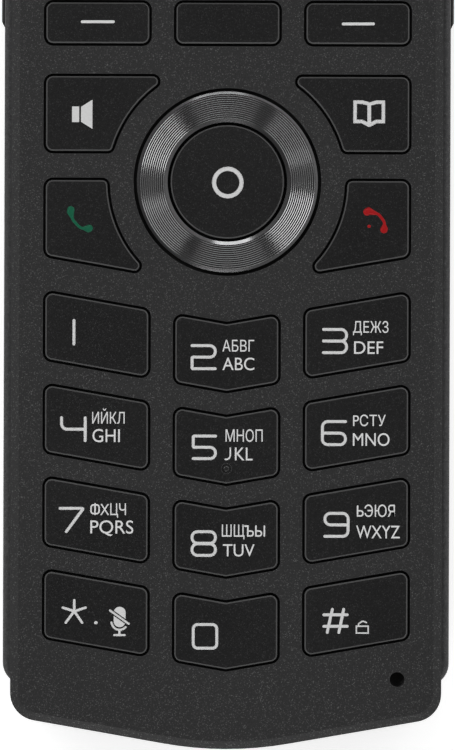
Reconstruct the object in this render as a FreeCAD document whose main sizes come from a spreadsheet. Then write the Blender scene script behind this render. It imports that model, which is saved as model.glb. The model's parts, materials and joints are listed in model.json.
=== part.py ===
import FreeCAD, Part
import math
import os
import Sketcher
from types import SimpleNamespace

# A clamshell phone, lying open on its back. X runs across the phone, Y from the chin to the
# hinge and Z out of the keypad. The origin is on the flat back, on the centreline.
# The lid's pieces are drawn folded shut over the keypad, round a body origin on the hinge's
# axis, and each body is then swung open about that axis.

SIZES = {
    # keypad half
    "base_width": 54.0,  # over the grip bands
    "base_thickness": 11.0,  # back to the face of the front cover
    "tip_reach": 54.0,  # origin to the tip of the chin
    "hinge_from_tip": 103.6,  # tip of the chin to the hinge's axis
    "chevron_angle": 9.9,  # slope of the chin and of the number keys
    "tip_round": 43.5,  # radius at the tip of the chin
    "chin_round": 3.4,  # radius of the chin's two corners
    # front cover
    "grip_band": 0.95,  # width of the grip band that shows beside the front cover
    "cover_depth": 2.4,  # height of the front cover's rim
    "cover_plate": 1.4,  # thickness of its face
    "cover_skirt": 0.9,  # thickness of its rim
    "rim_slope": 0.95,  # width of the sloping edge round its face
    "rim_drop": 0.4,  # how far that edge falls
    # rear housing
    "chin_step": 0.2,  # how far the chin of the rear housing stands back
    "band_drop": 0.9,  # top of the grip band, below the face
    "band_low": 2.6,  # bottom of the grip band, above the back
    "band_from_tip": 7.65,
    "band_round": 2.7,
    "band_edge": 0.6,
    "back_round": 2.2,  # radius round the edge of the back
    "housing_wall": 1.4,
    "housing_floor": 1.2,
    "room_step": 1.2,  # extra wall round the rooms below the board
    "bay_low": 33.0,  # chin's tip to the battery bay
    "bay_end": 14.0,  # battery bay to the hinge end of the cover
    "bay_side": 2.9,  # side of the battery cover to the side of the bay
    "web": 0.9,  # wall between the battery and the main board
    "seam": 0.04,  # gap between two covers
    "play": 0.05,  # gap between pieces that rest on one another
    # keys
    "key_margin": 4.15,  # side of the front cover to the outer keys
    "key_space": 3.3,  # between two columns of keys
    "row_space": 3.2,  # between two rows of number keys
    "key_round": 0.85,
    "key_edge": 0.16,  # bevel round a key's top
    "key_rise": 0.25,  # how far a key stands out of the face
    "key_gap": 0.33,  # gap between a key and its opening
    "key_lip": 0.6,  # reach of the flange that holds a key under the cover
    "key_flange": 0.5,  # thickness of that flange
    "key_travel": 0.4,
    "first_row": 21.2,  # ring's centre down to the first row of numbers
    "last_row": 13.7,  # last row of numbers down to the tip of the chin
    "soft_row": 19.15,  # ring's centre up to the top row
    "soft_height": 4.9,
    "fan_radius": 14.5,  # hollow side of the keys beside the ring
    "fan_margin": 1.8,  # those keys' ends, inside that radius
    "fan_top_foot": 3.7,  # ring's centre up to the foot of the upper pair
    "fan_low_head": 0.15,  # ring's centre up to the head of the lower pair
    "fan_tip": 0.6,  # radius at those keys' points
    "pip_drop": 2.2,  # middle of the 5 key down to its raised pip
    "pip_dish": 0.62,
    "pip_radius": 0.3,
    "pip_rise": 0.12,
    "pip_depth": 0.05,
    # navigation ring
    "ring_from_end": 29.5,  # ring's centre up to the hinge end of the cover
    "ring_well": 11.35,  # radius of the cover's round opening
    "ring_outer": 10.92,
    "ring_bore": 7.22,
    "ring_bevel_out": 0.3,
    "ring_bevel_in": 0.4,
    "ring_rise": 0.32,
    "ring_height": 1.2,
    "groove_width": 0.15,
    "groove_depth": 0.027,
    "groove_count": 12,
    "select_radius": 6.84,
    "tilt_room": 0.3,  # room for the ring and its carrier to tilt
    "carrier_flange": 0.55,
    # boards and mat
    "mat_thickness": 0.7,
    "dome_rise": 0.25,
    "dome_radius": 2.0,
    "sheet_thickness": 0.15,
    "board_thickness": 0.8,
    "board_gap": 0.25,  # main board to the housing's wall
    "board_from_tip": 2.2,
    "mat_margin": 1.2,  # side of the mat to the side of the board
    "mat_from_tip": 8.3,
    "mat_end": 6.7,  # mat to the hinge end of the cover
    # in the rooms beside the battery
    "usb_width": 7.5,
    "usb_height": 2.5,
    "usb_length": 5.6,
    "usb_wall": 0.3,
    "usb_from_tip": 0.9,
    "port_gap": 0.15,
    "speaker_across": -9.5,
    "speaker_from_tip": 18.5,
    "speaker_width": 16.0,
    "speaker_length": 12.0,
    "speaker_height": 3.6,
    "speaker_round": 1.0,
    "cone_depth": 0.4,
    "slot_length": 9.0,
    "slot_width": 0.8,
    "slot_pitch": 1.7,
    "slot_count": 5,
    "motor_across": 11.0,
    "motor_from_tip": 19.0,
    "motor_radius": 5.0,
    "motor_height": 2.7,
    "antenna_width": 24.0,
    "antenna_length": 5.0,
    "antenna_from_tip": 9.2,
    "antenna_height": 1.4,
    "sim_width": 16.0,
    "sim_length": 14.0,
    "sim_from_end": 14.0,  # middle of the card reader to the end of the bay
    "sim_rim": 1.2,
    "sim_card": 0.3,
    "contact_width": 8.0,
    "contact_height": 4.0,
    # battery and its cover
    "door_thickness": 1.1,
    "door_side": 3.35,  # side of the housing to the battery cover
    "door_margin": 4.0,  # door past the bay, at each end
    "door_gap": 0.1,
    "door_round": 2.0,
    "door_edge": 0.2,
    "thumb_width": 14.0,
    "thumb_length": 6.0,
    "thumb_margin": 1.5,
    "thumb_depth": 0.4,
    "bay_play": 0.3,
    "battery_round": 1.2,
    # microphone
    "mic_from_side": 5.35,
    "mic_from_tip": 8.5,
    "mic_hole": 0.9,
    "mic_radius": 2.0,
    "mic_height": 1.5,
    "mic_boot": 0.6,
    # side keys
    "side_key_end": 1.8,  # side keys to the hinge end of the cover
    "side_key_length": 9.1,
    "side_key_height": 3.0,
    "side_key_middle": 5.6,
    "side_key_rise": 0.5,
    "side_key_taper": 1.0,
    "side_key_gap": 0.12,
    "side_wall": 1.5,
    "side_key_tilt": 0.25,  # room for the volume key to rock
    "switch_room": 3.0,
    "switch_depth": 1.2,
    "switch_height": 1.6,
    "switch_length": 3.4,
    "side_key_flange": 0.5,
    "side_key_travel": 0.3,
    # screws
    "screw_radius": 0.7,
    "screw_head": 1.4,
    "screw_head_height": 0.8,
    "screw_tip": 0.3,
    "post_radius": 1.7,
    "chin_screw_across": 14.0,
    "chin_screw_from_tip": 6.4,
    "top_screw_across": 12.0,
    "top_screw_from_end": 3.7,
    # hinge
    "barrel_radius": 5.2,
    "knuckle_width": 8.0,
    "knuckle_gap": 0.25,
    "knuckle_step": 2.0,  # knuckles inside the grip bands
    "hinge_gap": 0.4,  # lid's edge to the knuckles
    "tail": 3.4,  # base past the hinge's axis
    "tail_corner": 2.2,
    "knuckle_lean": 25.0,  # where the knuckle's back meets its round, below the axis
    "neck_angle": 69.1,  # where the lid's neck meets the barrel, above the axis
    "hinge_bore": 3.6,
    "hinge_fit": 0.05,
    "pivot_radius": 1.6,
    "pivot_length": 8.0,
    "pivot_square": 2.9,
    "cam_inner": 3.0,  # centreline to the cam's inner end
    "sleeve_reach": 9.0,
    "flex_radius": 2.7,
    "flex_wall": 0.25,
    "flex_inner": 2.0,  # centreline to the cable's inner end
    "socket_depth": 4.2,
    "sleeve_wall": 0.5,
    "end_cap": 0.6,
    "lid_open": 160.0,  # from shut to the open stop
    # lid
    "lid_gap": 0.6,  # between the two halves when shut
    "lid_inset": 0.4,  # lid's side inside the base's side
    "lid_thickness": 7.4,
    "lid_front": 3.0,  # depth of the inner cover
    "lid_wall": 1.2,
    "lid_face": 1.6,  # thickness of the inner cover's face
    "lid_round": 2.2,
    "lid_bevel": 0.5,
    "window_side": 3.6,  # side of the lid to the display window
    "window_low": 18.0,
    "window_end": 13.0,  # window to the hinge end of the lid
    "window_depth": 1.0,
    "window_round": 2.5,
    "screen_side": 2.0,  # side of the window to the display
    "screen_margin": 3.0,
    "screen_depth": 2.4,
    "ear_from_tip": 11.5,
    "ear_width": 11.0,
    "ear_height": 1.6,
    "bumper_radius": 1.6,
    "bumper_side": 9.6,  # side of the lid to the middle of a bumper
    "bumper_from_tip": 6.6,
    "bumper_sunk": 0.6,
    "bumper_rise": 0.45,
    "lid_head_height": 0.55,
    "lid_screw_length": 4.4,
    "earpiece_width": 13.0,
    "earpiece_length": 7.0,
    "earpiece_depth": 2.2,
    "mesh_sunk": 0.15,
    "mesh_thickness": 0.3,
    "lid_board_side": 8.6,
    "lid_board_low": 26.0,
    "lid_board_end": 18.0,
    "lid_board_thickness": 0.6,
    "back_window_width": 27.0,
    "back_window_end": 5.0,  # outer window to the hinge end of the lid
    "back_window_length": 33.0,
    "back_window_depth": 0.9,
    "camera_from_end": 11.5,
    "camera_radius": 3.3,
    "camera_ring": 0.9,  # width of the metal ring round the lens
    "camera_ring_rise": 0.3,
    "camera_height": 3.9,
    "back_screen_from_end": 27.5,
    "back_screen_width": 21.0,
    "back_screen_height": 15.0,
    "back_screen_depth": 1.5,
}

doc = FreeCAD.newDocument("Clamshell_Phone")
sheet = doc.addObject("Spreadsheet::Sheet", "Sizes")
for row, (alias, value) in enumerate(SIZES.items(), start=1):
    sheet.set(f"A{row}", alias)
    sheet.set(f"B{row}", str(value))
    sheet.setAlias(f"B{row}", alias)
doc.recompute()


class Size:
    # A number together with the formula that ties it to the sheet.

    def __init__(self, number, formula):
        self.number = number
        self.formula = formula

    def __add__(self, other):
        other = as_size(other)
        return Size(self.number + other.number, f"({self.formula} + {other.formula})")

    def __sub__(self, other):
        other = as_size(other)
        return Size(self.number - other.number, f"({self.formula} - {other.formula})")

    def __mul__(self, other):
        other = as_size(other)
        return Size(self.number * other.number, f"({self.formula} * {other.formula})")

    def __truediv__(self, other):
        other = as_size(other)
        return Size(self.number / other.number, f"({self.formula} / {other.formula})")

    def __radd__(self, other):
        return as_size(other) + self

    def __rsub__(self, other):
        return as_size(other) - self

    def __rmul__(self, other):
        return as_size(other) * self

    def __rtruediv__(self, other):
        return as_size(other) / self

    def __neg__(self):
        return Size(-self.number, f"(0 - {self.formula})")

    def __abs__(self):
        return self if self.number >= 0 else -self


def as_size(value):
    return value if isinstance(value, Size) else Size(float(value), f"({value:g})")


def cos(angle):
    return Size(math.cos(math.radians(angle.number)), f"cos({angle.formula})")


def sin(angle):
    return Size(math.sin(math.radians(angle.number)), f"sin({angle.formula})")


def tan(angle):
    return Size(math.tan(math.radians(angle.number)), f"tan({angle.formula})")


def sqrt(value):
    return Size(math.sqrt(value.number), f"sqrt({value.formula})")


def tie(item, place, value):
    item.setExpression(place, as_size(value).formula)


s = SimpleNamespace(**{alias: Size(float(sheet.get(alias)), f"Sizes.{alias}") for alias in SIZES})

# Shapes that a sketch can hold: a circle is a dictionary, and an outline is a list of corners.
# A corner with a third item, (centre x, centre y, radius), starts an arc to the next corner.


def circle(x, y, radius):
    return {"x": as_size(x), "y": as_size(y), "radius": as_size(radius)}


def block(left, right, low, high):
    return [(left, low), (right, low), (right, high), (left, high)]


def centred(width, low, high):
    return block(-width / 2, width / 2, low, high)


def chevron(x, middle):
    # height at x of a line that rises from the centreline to both sides
    return middle + abs(as_size(x)) * tan(s.chevron_angle)


def plan(half, high, tip, inset=0, round_tip=True):
    # outline of either half of the phone: a flat V at the chin and straight sides
    inset = as_size(inset)
    drop = s.tip_round * (1 / cos(s.chevron_angle) - 1) if round_tip else as_size(0)
    middle = tip - drop + inset / cos(s.chevron_angle)
    side = half - inset
    shoulder = chevron(side, middle)
    return [(as_size(0), middle), (side, shoulder), (side, high), (-side, high), (-side, shoulder)]


def outline_side(shape, index):
    # a side's curve, and which of its two ends comes first and last on the way round
    here, following = shape[index], shape[(index + 1) % len(shape)]
    start, end = [FreeCAD.Vector(as_size(c[0]).number, as_size(c[1]).number) for c in (here, following)]
    if len(here) == 2:
        return Part.LineSegment(start, end), 1, 2
    centre = FreeCAD.Vector(here[2][0].number, here[2][1].number)
    full = Part.Circle(centre, FreeCAD.Vector(0, 0, 1), here[2][2].number)
    angles = [math.atan2((p - centre).y, (p - centre).x) for p in (start, end)]
    turn = (angles[1] - angles[0]) % (2 * math.pi)
    if turn < math.pi:
        return Part.ArcOfCircle(full, angles[0], angles[0] + turn), 1, 2
    return Part.ArcOfCircle(full, angles[1], angles[1] + 2 * math.pi - turn), 2, 1


class Piece:
    # One sub-part: a PartDesign body that carries its node's name.

    def __init__(self, label, on_lid=False):
        self.body = doc.addObject("PartDesign::Body", label)
        self.body.Label = label
        self.body.AllowCompound = True
        if on_lid:
            axis = FreeCAD.Vector(1, 0, 0)
            self.body.Placement = FreeCAD.Placement(FreeCAD.Vector(), FreeCAD.Rotation(axis, -90))
            tie(self.body, "Placement.Base.y", hinge_y)
            tie(self.body, "Placement.Base.z", hinge_z)
            tie(self.body, "Placement.Rotation.Angle", -s.lid_open)

    def sketch(self, shapes, plane, offset):
        sketch = self.body.newObject("Sketcher::SketchObject", "Sketch")
        origin_plane = [part for part in self.body.Origin.OriginFeatures if part.Role == plane][0]
        sketch.AttachmentSupport = [(origin_plane, "")]
        sketch.MapMode = "FlatFace"
        tie(sketch, "AttachmentOffset.Base.z", offset)
        geometry, rules, ties = [], [], []
        for shape in shapes:
            first = len(geometry)
            if isinstance(shape, dict):
                centre = FreeCAD.Vector(shape["x"].number, shape["y"].number, 0)
                up = FreeCAD.Vector(0, 0, 1)
                geometry.append(Part.Circle(centre, up, shape["radius"].number))
                ties += [("DistanceX", (-1, 1, first, 3), shape["x"])]
                ties += [("DistanceY", (-1, 1, first, 3), shape["y"])]
                ties += [("Radius", (first,), shape["radius"])]
                continue
            sides = [outline_side(shape, index) for index in range(len(shape))]
            for index, (curve, start, end) in enumerate(sides):
                geometry.append(curve)
                following = (index + 1) % len(sides)
                ends = (first + index, end, first + following, sides[following][1])
                rules.append(Sketcher.Constraint("Coincident", *ends))
                ties += [("DistanceX", (-1, 1, first + index, start), as_size(shape[index][0]))]
                ties += [("DistanceY", (-1, 1, first + index, start), as_size(shape[index][1]))]
                if len(shape[index]) > 2:
                    ties += [("Radius", (first + index,), shape[index][2][2])]
        sketch.addGeometry(geometry, False)
        for kind, points, value in ties:
            rules.append(Sketcher.Constraint(kind, *points, value.number))
        sketch.addConstraint(rules)
        for index, (kind, points, value) in enumerate(ties, start=len(rules) - len(ties)):
            tie(sketch, f"Constraints[{index}]", value)
        return sketch

    def extrude(self, kind, shapes, low, high, plane):
        # the XZ plane looks down -Y, so there the profile starts from the high end
        low, high = as_size(low), as_size(high)
        start = -high if plane == "XZ_Plane" else low
        feature = self.body.newObject(kind, kind.split("::")[1])
        feature.Profile = self.sketch(shapes, plane, start)
        tie(feature, "Length", high - low)
        return feature

    def pad(self, shapes, low, high, plane="XY_Plane"):
        self.extrude("PartDesign::Pad", shapes, low, high, plane)
        return self

    def pocket(self, shapes, low, high, plane="XY_Plane"):
        self.extrude("PartDesign::Pocket", shapes, low, high, plane).Reversed = True
        return self

    def revolve(self, profile, y):
        # turned about the upright line through the centreline at y
        feature = self.body.newObject("PartDesign::Revolution", "Revolution")
        feature.Profile = self.sketch([profile], "XZ_Plane", -y)
        feature.ReferenceAxis = (feature.Profile[0], ["V_Axis"])
        feature.Angle = 360
        return self

    def edges(self, wanted):
        doc.recompute()
        shape = self.body.Tip.Shape
        names = [f"Edge{i}" for i, edge in enumerate(shape.Edges, start=1) if wanted(edge)]
        return self.body.Tip, names

    def fillet(self, radius, wanted):
        base = self.edges(wanted)
        feature = self.body.newObject("PartDesign::Fillet", "Fillet")
        feature.Base = base
        tie(feature, "Radius", radius)
        return self

    def chamfer(self, size, wanted, second=None):
        base = self.edges(wanted)
        feature = self.body.newObject("PartDesign::Chamfer", "Chamfer")
        feature.Base = base
        tie(feature, "Size", size)
        if second is not None:
            feature.ChamferType = "Two distances"
            tie(feature, "Size2", second)
        return self


# Ways to pick edges by where they lie.

NEAR = 1e-4  # mm


def upright(edge):
    ends = [vertex.Point for vertex in edge.Vertexes]
    return len(ends) == 2 and math.hypot(ends[0].x - ends[1].x, ends[0].y - ends[1].y) < NEAR


def upright_at(*spots):
    def wanted(edge):
        point = edge.Vertexes[0].Point
        near = any(math.hypot(point.x - x.number, point.y - y.number) < NEAR for x, y in spots)
        return near and upright(edge)

    return wanted


def flat_at(height, keep=lambda box: True):
    def wanted(edge):
        box = edge.BoundBox
        level = abs(box.ZMin - height.number) < NEAR and abs(box.ZMax - height.number) < NEAR
        return level and keep(box)

    return wanted


# ---- heights and places that many pieces share

half = s.base_width / 2
cover_half = half - s.grip_band
core_half = cover_half - s.chin_step
board_half = core_half - s.housing_wall - s.board_gap
mat_half = board_half - s.mat_margin
door_half = core_half - s.door_side
bay_half = door_half - s.bay_side
knuckle_half = half - s.knuckle_step
barrel_half = knuckle_half - s.knuckle_width
tip = -s.tip_reach
hinge_y = tip + s.hinge_from_tip
hinge_z = s.base_thickness + s.lid_gap / 2
cover_end = hinge_y - s.barrel_radius - s.hinge_gap
ring_y = cover_end - s.ring_from_end
key_width = (2 * (cover_half - s.key_margin) - 2 * s.key_space) / 3
column_pitch = key_width + s.key_space
row_pitch = (ring_y - tip - s.first_row - s.last_row) / 3
key_height = row_pitch - s.row_space
tail_end = hinge_y + s.tail

face = s.base_thickness
plate_low = face - s.cover_plate
rim_low = face - s.cover_depth
band_high = face - s.band_drop
flange_high = plate_low - s.play
flange_low = flange_high - s.key_flange
mat_high = flange_low - s.key_travel - s.play
mat_low = mat_high - s.mat_thickness
dome_high = mat_low - s.play
sheet_high = dome_high - s.dome_rise
sheet_low = sheet_high - s.sheet_thickness
board_high = sheet_low
board_low = board_high - s.board_thickness
web_high = board_low - s.play
web_low = web_high - s.web
bay_low = tip + s.bay_low
bay_high = cover_end - s.bay_end
knuckle_inner = barrel_half + s.knuckle_gap
door_low = bay_low - s.door_margin
door_high = bay_high + s.door_margin
board_end = cover_end - s.housing_wall - s.port_gap
room_half = core_half - s.housing_wall - s.room_step
speaker_y = tip + s.speaker_from_tip
motor_y = tip + s.motor_from_tip
side_high = cover_end - s.side_key_end
side_low = side_high - s.side_key_length

screw_spots = [
    (side * across, place)
    for side in (-1, 1)
    for across, place in (
        (s.chin_screw_across, tip + s.chin_screw_from_tip),
        (s.top_screw_across, cover_end - s.top_screw_from_end),
    )
]


def screw_circles(radius):
    return [circle(x, y, radius) for x, y in screw_spots]


# ---- the keys: one outline function serves the cap, its flange and its opening


def soft_outline(column, grow):
    middle = column * column_pitch
    reach = key_width / 2 + grow
    low = ring_y + s.soft_row - s.soft_height / 2 - grow
    return block(middle - reach, middle + reach, low, low + s.soft_height + 2 * grow)


def fan_arc(grow):
    return as_size(0), ring_y, s.fan_radius - grow


def fan_reach(level, grow):
    # how far across the hollow arc lies, at a height above the ring's centre
    radius = s.fan_radius - grow
    return sqrt(radius * radius - level * level)


def upper_fan_outline(side, grow):
    outer = side * (column_pitch + key_width / 2 + grow)
    low = s.fan_top_foot - grow
    high = s.fan_radius - s.fan_margin + grow
    outline = [(side * fan_reach(high, grow), ring_y + high, fan_arc(grow))]
    outline += [(side * fan_reach(low, grow), ring_y + low)]
    return outline + [(outer, ring_y + low), (outer, ring_y + high)]


def lower_fan_outline(side, grow):
    # its foot is a chevron line, which meets the arc where both heights agree
    outer = side * (column_pitch + key_width / 2 + grow)
    high = s.fan_low_head + grow
    middle = s.fan_margin - s.fan_radius - grow / cos(s.chevron_angle)
    slope, radius = tan(s.chevron_angle), s.fan_radius - grow
    spread = 1 + slope * slope
    root = sqrt(radius * radius * spread - middle * middle)
    across = (root - middle * slope) / spread
    outline = [(side * fan_reach(high, grow), ring_y + high, fan_arc(grow))]
    outline += [(side * across, chevron(across, ring_y + middle))]
    return outline + [(outer, chevron(outer, ring_y + middle)), (outer, ring_y + high)]


def number_outline(column, line, grow):
    middle = column * column_pitch
    left = middle - key_width / 2 - grow
    right = middle + key_width / 2 + grow
    centre = ring_y - s.first_row - line * row_pitch
    low = centre - key_height / 2 - grow / cos(s.chevron_angle)
    high = centre + key_height / 2 + grow / cos(s.chevron_angle)
    outline = [(left, chevron(left, low)), (right, chevron(right, low))]
    outline += [(right, chevron(right, high)), (left, chevron(left, high))]
    if column == 0:
        outline.insert(3, (as_size(0), high))
        outline.insert(1, (as_size(0), low))
    return outline


KEYS = {
    "soft_key_left": (soft_outline, (-1,)),
    "menu_key": (soft_outline, (0,)),
    "soft_key_right": (soft_outline, (1,)),
    "speaker_key": (upper_fan_outline, (-1,)),
    "contacts_key": (upper_fan_outline, (1,)),
    "call_key": (lower_fan_outline, (-1,)),
    "end_key": (lower_fan_outline, (1,)),
}
NUMBER_ROWS = ("123", "456", "789", "*0#")
SIGN_NAMES = {"*": "star", "#": "hash"}
for line, signs in enumerate(NUMBER_ROWS):
    for column, sign in zip((-1, 0, 1), signs):
        KEYS["key_" + SIGN_NAMES.get(sign, sign)] = (number_outline, (column, line))


def key_profile(name, grow):
    outline, place = KEYS[name]
    return outline(*place, as_size(grow))


def square_corners(name, grow):
    # a key's sharp corners, without the tips of a chevron and the ends of the hollow side
    profile = key_profile(name, grow)
    if len(profile[0]) > 2:
        return profile[2:]
    return [(x, y) for x, y in profile if abs(x.number) > NEAR or KEYS[name][0] is soft_outline]


def fan_ends(name, grow):
    profile = key_profile(name, grow)
    return [corner[:2] for corner in profile[:2]] if len(profile[0]) > 2 else []


def make_key(name):
    key = Piece(name)
    top = face + s.key_rise
    key.pad([key_profile(name, 0)], flange_high, top)
    key.fillet(s.key_round, upright_at(*square_corners(name, 0)))
    if fan_ends(name, 0):
        key.fillet(s.fan_tip, upright_at(*fan_ends(name, 0)))
    key.chamfer(s.key_edge, flat_at(top))
    key.pad([key_profile(name, s.key_lip)], flange_low, flange_high)
    if name == "key_5":
        pip_y = ring_y - s.first_row - row_pitch - s.pip_drop
        dish = top - s.pip_depth
        key.pocket([circle(0, pip_y, s.pip_dish)], dish, top)
        dome = [(0, dish), (s.pip_radius, dish), (s.pip_radius * 0.85, top + s.pip_rise * 0.4)]
        dome += [(s.pip_radius * 0.5, top + s.pip_rise * 0.85), (0, top + s.pip_rise)]
        key.revolve(dome, pip_y)


# ---- the keypad half


def make_front_cover():
    cover = Piece("base_front_cover")
    outline = plan(cover_half, cover_end, tip)
    cover.pad([outline], rim_low, face)
    cover.fillet(s.chin_round, upright_at(outline[1], outline[4]))
    cover.fillet(s.tip_round, upright_at(outline[0]))
    cover.chamfer(s.rim_drop, flat_at(face, before_hinge), s.rim_slope)
    inside = plan(cover_half, cover_end - s.cover_skirt, tip, s.cover_skirt)
    cover.pocket([inside], rim_low, plate_low)
    cover.pad(screw_circles(s.post_radius), board_low, plate_low)
    cover.pocket(screw_circles(s.screw_radius + s.play), board_low, plate_low)
    cover.pocket([key_profile(name, s.key_gap) for name in KEYS], plate_low, face)
    rounds = [corner for name in KEYS for corner in square_corners(name, s.key_gap)]
    cover.fillet(s.key_round + s.key_gap, upright_at(*rounds))
    points = [corner for name in KEYS for corner in fan_ends(name, s.key_gap)]
    cover.fillet(s.fan_tip + s.key_gap, upright_at(*points))
    cover.pocket([circle(0, ring_y, s.ring_well), mic_circle(s.mic_hole)], plate_low, face)


def before_hinge(box):
    return box.YMin < cover_end.number - NEAR


def room_plan(high, extra):
    # inside of the rear housing; the rooms below the board have a thicker wall
    return plan(cover_half, high, tip, s.chin_step + s.housing_wall + extra)


def knuckle_profile():
    lean = s.barrel_radius - s.seam
    back = (hinge_y + lean * cos(s.knuckle_lean), hinge_z - lean * sin(s.knuckle_lean))
    profile = [(cover_end, 0), (tail_end - s.tail_corner, 0), (tail_end, s.tail_corner), back]
    profile += [(hinge_y, hinge_z), (cover_end + s.seam, face)]
    return profile + [(cover_end + s.seam, rim_low), (cover_end, rim_low)]


def make_rear_housing():
    housing = Piece("base_rear_housing")
    band = block(-half, half, tip + s.band_from_tip, cover_end)
    housing.pad([band], s.band_low, band_high)
    housing.fillet(s.band_round, upright_at(band[0], band[1]))
    housing.fillet(s.band_edge, flat_at(band_high, before_hinge))
    core = plan(cover_half, cover_end, tip, s.chin_step)
    housing.pad([core], 0, rim_low)
    housing.fillet(s.chin_round - s.chin_step, upright_at(core[1], core[4]))
    housing.fillet(s.tip_round - s.chin_step, upright_at(core[0]))
    housing.fillet(s.back_round, flat_at(as_size(0), before_hinge))

    # hinge end: two knuckles, and a hollow between them for the lid's barrel
    housing.pad([knuckle_profile()], -knuckle_half, knuckle_half, "YZ_Plane")
    knuckle = [circle(hinge_y, hinge_z, s.barrel_radius)]
    housing.pad(knuckle, knuckle_inner, knuckle_half, "YZ_Plane")
    housing.pad(knuckle, -knuckle_half, -knuckle_inner, "YZ_Plane")
    hollow = s.barrel_radius + s.hinge_gap
    swing = block(hinge_y, hinge_y + 2 * hollow, hinge_z - hollow, hinge_z + hollow)
    housing.pocket([circle(hinge_y, hinge_z, hollow)], -knuckle_inner, knuckle_inner, "YZ_Plane")
    housing.pocket([swing], -knuckle_inner, knuckle_inner, "YZ_Plane")
    side = s.pivot_square / 2 + s.hinge_fit
    socket = block(hinge_y - side, hinge_y + side, hinge_z - side, hinge_z + side)
    bore = circle(hinge_y, hinge_z, s.hinge_bore)
    deep = knuckle_inner + s.socket_depth
    housing.pocket([socket], -deep, -knuckle_inner, "YZ_Plane")
    housing.pocket([bore], knuckle_inner, deep, "YZ_Plane")
    housing.pocket([bore], knuckle_half - s.end_cap, knuckle_half, "YZ_Plane")
    housing.pocket([bore], -knuckle_half, -knuckle_half + s.end_cap, "YZ_Plane")

    # seat of the front cover, and the space for the boards
    housing.pocket([plan(cover_half, cover_end + s.seam, tip, -s.seam)], rim_low, band_high)
    housing.pocket([room_plan(cover_end - s.housing_wall, 0)], web_high, rim_low)
    housing.pocket([room_plan(door_low - s.housing_wall, s.room_step)], s.housing_floor, web_high)
    top_room = block(-room_half, room_half, door_high + s.housing_wall, cover_end - s.housing_wall)
    housing.pocket([top_room], s.housing_floor, web_high)

    # battery bay, the recess of its cover, and the openings in its walls
    housing.pocket([centred(2 * bay_half, bay_low, bay_high)], 0, web_low)
    recess = centred(2 * (door_half + s.door_gap), door_low - s.door_gap, door_high + s.door_gap)
    housing.pocket([recess], 0, s.door_thickness)
    housing.fillet(s.door_round + s.door_gap, upright_at(*recess))
    housing.pocket([sim_outline(s.play)], web_low, web_high)
    notch = centred(s.contact_width + 2 * s.play, door_low - s.housing_wall, bay_low)
    housing.pocket([notch], web_high - s.contact_height, web_high)

    # screw posts
    housing.pad(screw_circles(s.post_radius), s.housing_floor, web_high)
    housing.pocket(screw_circles(s.screw_radius + s.play), 0, web_high)
    housing.pocket(screw_circles(s.screw_head + s.play), 0, s.screw_head_height + s.play)

    # side keys, charging port and loudspeaker slots
    for side in (-1, 1):
        inner, outer = side * (half - s.side_wall - s.switch_room), side * (half - s.side_wall)
        flange = s.side_key_flange + s.side_key_gap
        hold = block(inner, outer, side_low - flange, side_high + flange)
        housing.pocket([hold], side_key_heights(flange)[0], rim_low)
        slot_low, slot_high = side_key_heights(s.side_key_gap)
        slot = block(side_low - s.side_key_gap, side_high + s.side_key_gap, slot_low, slot_high)
        left, right = (outer, half + s.seam) if side > 0 else (-half - s.seam, outer)
        housing.pocket([slot], left, right, "YZ_Plane")
    port_low, port_high = board_low - s.usb_height - s.port_gap, board_low
    port = block(-s.usb_width / 2 - s.port_gap, s.usb_width / 2 + s.port_gap, port_low, port_high)
    housing.pocket([port], tip, tip + s.usb_length, "XZ_Plane")
    slots = []
    for index in range(round(s.slot_count.number)):
        middle = speaker_y + (index - (s.slot_count - 1) / 2) * s.slot_pitch
        reach = s.slot_length / 2
        slots.append(block(s.speaker_across - reach, s.speaker_across + reach,
                           middle - s.slot_width / 2, middle + s.slot_width / 2))
    housing.pocket(slots, 0, s.housing_floor)


def side_key_heights(grow):
    reach = s.side_key_height / 2 + grow
    return s.side_key_middle - reach, s.side_key_middle + reach


def sim_outline(grow):
    middle = bay_high - s.sim_from_end
    reach = s.sim_length / 2 + grow
    return centred(s.sim_width + 2 * grow, middle - reach, middle + reach)


def make_battery_and_cover():
    door = Piece("battery_cover")
    outline = centred(2 * door_half, door_low, door_high)
    door.pad([outline], 0, s.door_thickness - s.play)
    door.fillet(s.door_round, upright_at(*outline))
    door.chamfer(s.door_edge, flat_at(as_size(0)))
    thumb = centred(s.thumb_width, door_high - s.thumb_length, door_high - s.thumb_margin)
    door.pocket([thumb], 0, s.thumb_depth)
    battery = Piece("battery")
    cell = centred(2 * (bay_half - s.bay_play), bay_low + s.bay_play, bay_high - s.bay_play)
    battery.pad([cell], s.door_thickness + s.play, web_low - s.play)
    battery.fillet(s.battery_round, upright_at(*cell))


def mat_outline(inset):
    return plan(mat_half, cover_end - s.mat_end - inset, tip + s.mat_from_tip, inset, False)


def mic_circle(radius):
    return circle(cover_half - s.mic_from_side, tip + s.mic_from_tip, radius)


def dome_spots():
    # one dome under each key, four under the ring and one under its middle
    spots = [(0, ring_y)]
    reach = (s.ring_outer + s.ring_bore) / 2
    spots += [(-reach, ring_y), (reach, ring_y), (0, ring_y - reach), (0, ring_y + reach)]
    for column in (-1, 0, 1):
        across = column * column_pitch
        spots.append((across, ring_y + s.soft_row))
        for line in range(len(NUMBER_ROWS)):
            spots.append((across, chevron(across, ring_y - s.first_row - line * row_pitch)))
    for side in (-1, 1):
        across = side * (column_pitch + s.fan_margin)
        spots.append((across, ring_y + (s.fan_radius - s.fan_margin + s.fan_top_foot) / 2))
        spots.append((across, ring_y - (s.fan_radius - s.fan_margin) / 2 + s.fan_low_head))
    return spots


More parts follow.
